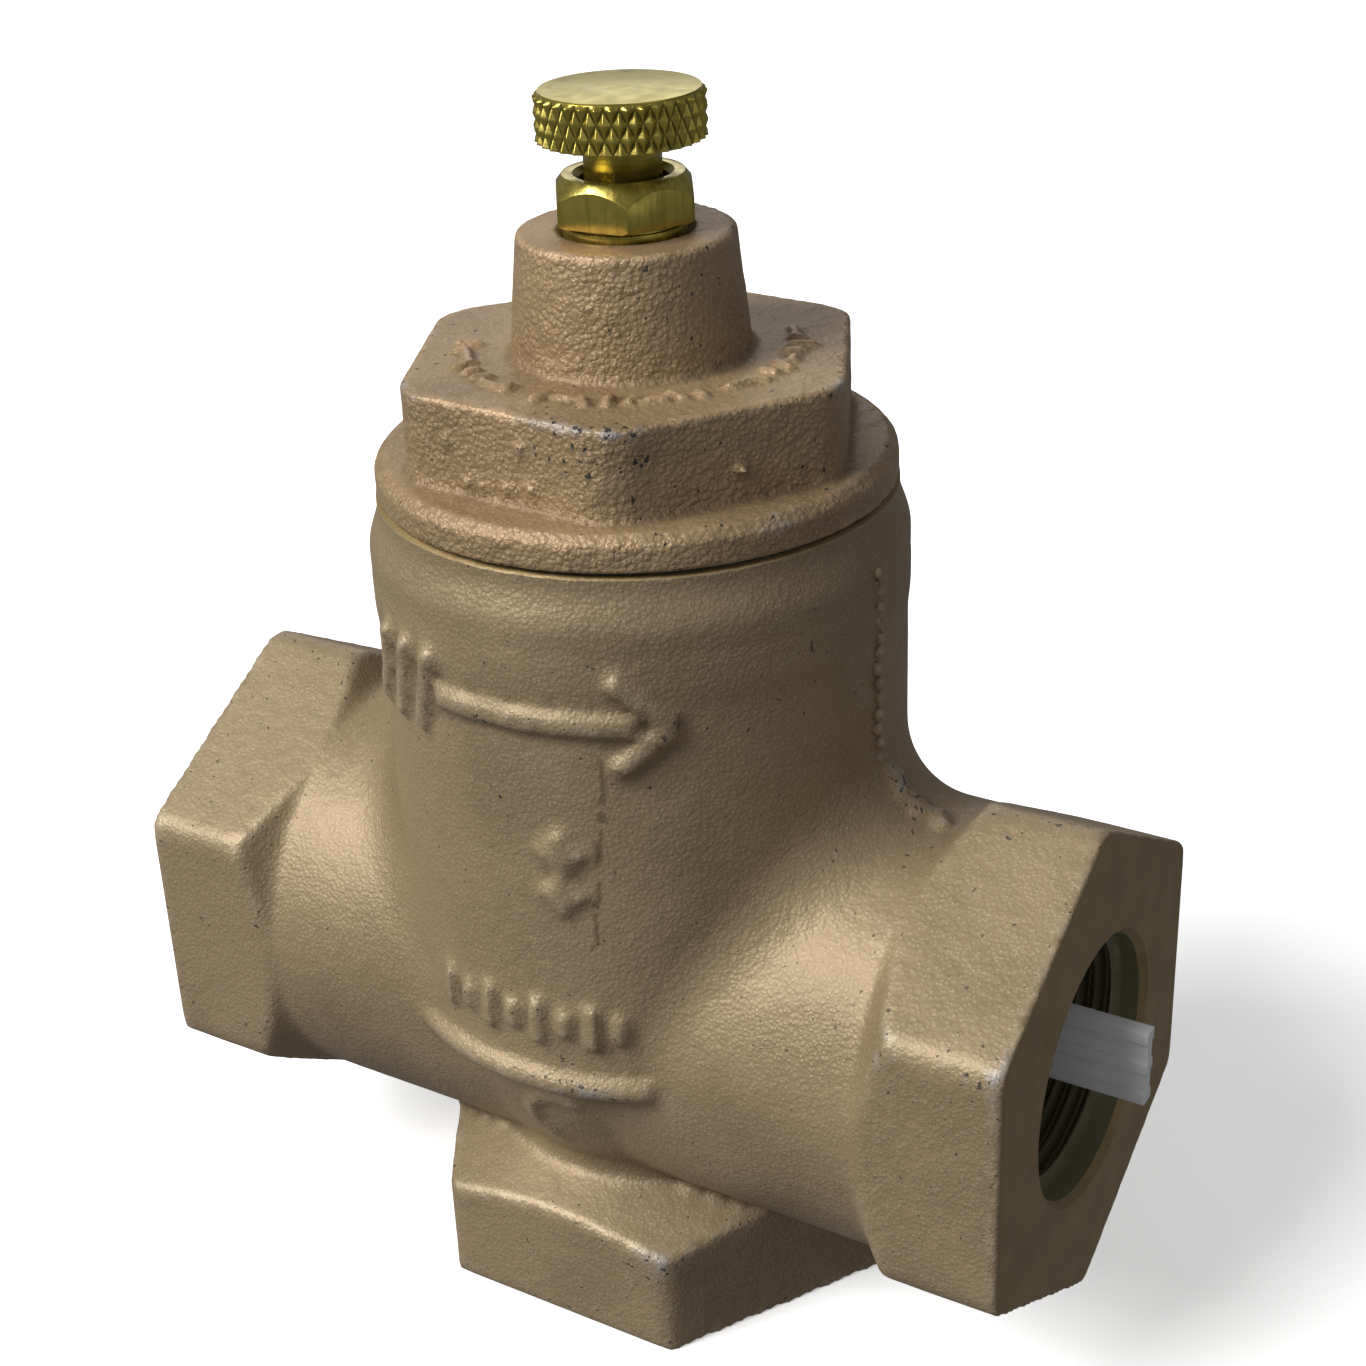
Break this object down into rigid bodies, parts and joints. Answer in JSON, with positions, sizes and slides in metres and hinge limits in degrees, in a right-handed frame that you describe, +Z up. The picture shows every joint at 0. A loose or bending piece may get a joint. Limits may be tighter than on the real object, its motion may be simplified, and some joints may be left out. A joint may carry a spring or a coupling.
{
  "type": "flow-check valve",
  "caption": "Cast bronze globe-style flow-check valve with screwed hex bonnet, knurled opening knob on a threaded stem, weighted check disc and hexagonal threaded ports.",
  "frame": {"origin": "centre of the bottom port's face, on the stem's axis", "axes": "+Z up the stem to the knob, +X out of the right port along the run; the left port faces -X and the bottom port -Z"},
  "size_m": [0.1265, 0.0642, 0.1504],
  "materials": {
    "body_casting": "sand-cast bronze, fine grain, soft sheen",
    "bonnet_casting": "sand-cast bronze, coarser and redder, worn at the corners",
    "polished_brass": "turned and polished",
    "brass_trim": "machined",
    "steel_pin": "drawn",
    "gasket_fibre": "matte",
    "packing": "matte",
    "seat_rubber": "matte",
    "strip_plastic": "translucent, smooth"
  },
  "bodies": {
    "valve": {"valve_body": "body_casting", "seat_ring": "brass_trim", "bonnet": "bonnet_casting", "bonnet_gasket": "gasket_fibre", "packing_washer": "brass_trim", "packing_ring_lower": "packing", "packing_ring_middle": "packing", "packing_ring_upper": "packing", "gland_follower": "brass_trim", "gland_nut": "polished_brass"},
    "carrier": {"lift_washer": "brass_trim"},
    "stem": {"stem": "brass_trim", "knob": "polished_brass", "knob_pin": "steel_pin", "lift_nut": "brass_trim", "lift_pin": "steel_pin"},
    "disc": {"disc_holder": "brass_trim", "disc_weight": "brass_trim", "disc_cap": "brass_trim", "seat_disc": "seat_rubber", "clamp_washer": "brass_trim", "disc_guide": "brass_trim"},
    "strip": {"shipping_strip": "strip_plastic"}
  },
  "joints": [
    {"name": "stem_rise", "type": "slide", "parent": "valve", "child": "carrier", "axis": [0, 0, 1], "range_m": [0, 0.00508]},
    {"name": "stem_turn", "type": "hinge", "parent": "carrier", "child": "stem", "pos_m": [0, 0, 0.14], "axis": [0, 0, 1], "range_deg": [0, 720]},
    {"name": "disc_lift", "type": "slide", "parent": "carrier", "child": "disc", "axis": [0, 0, 1], "range_m": [0, 0.006]},
    {"name": "strip_pull", "type": "slide", "parent": "valve", "child": "strip", "axis": [1, 0, 0], "range_m": [0, 0.06]}
  ],
  "couplings": [
    {"joint": "stem_turn", "follows": "stem_rise", "rad_per_m": 2473.7}
  ]
}
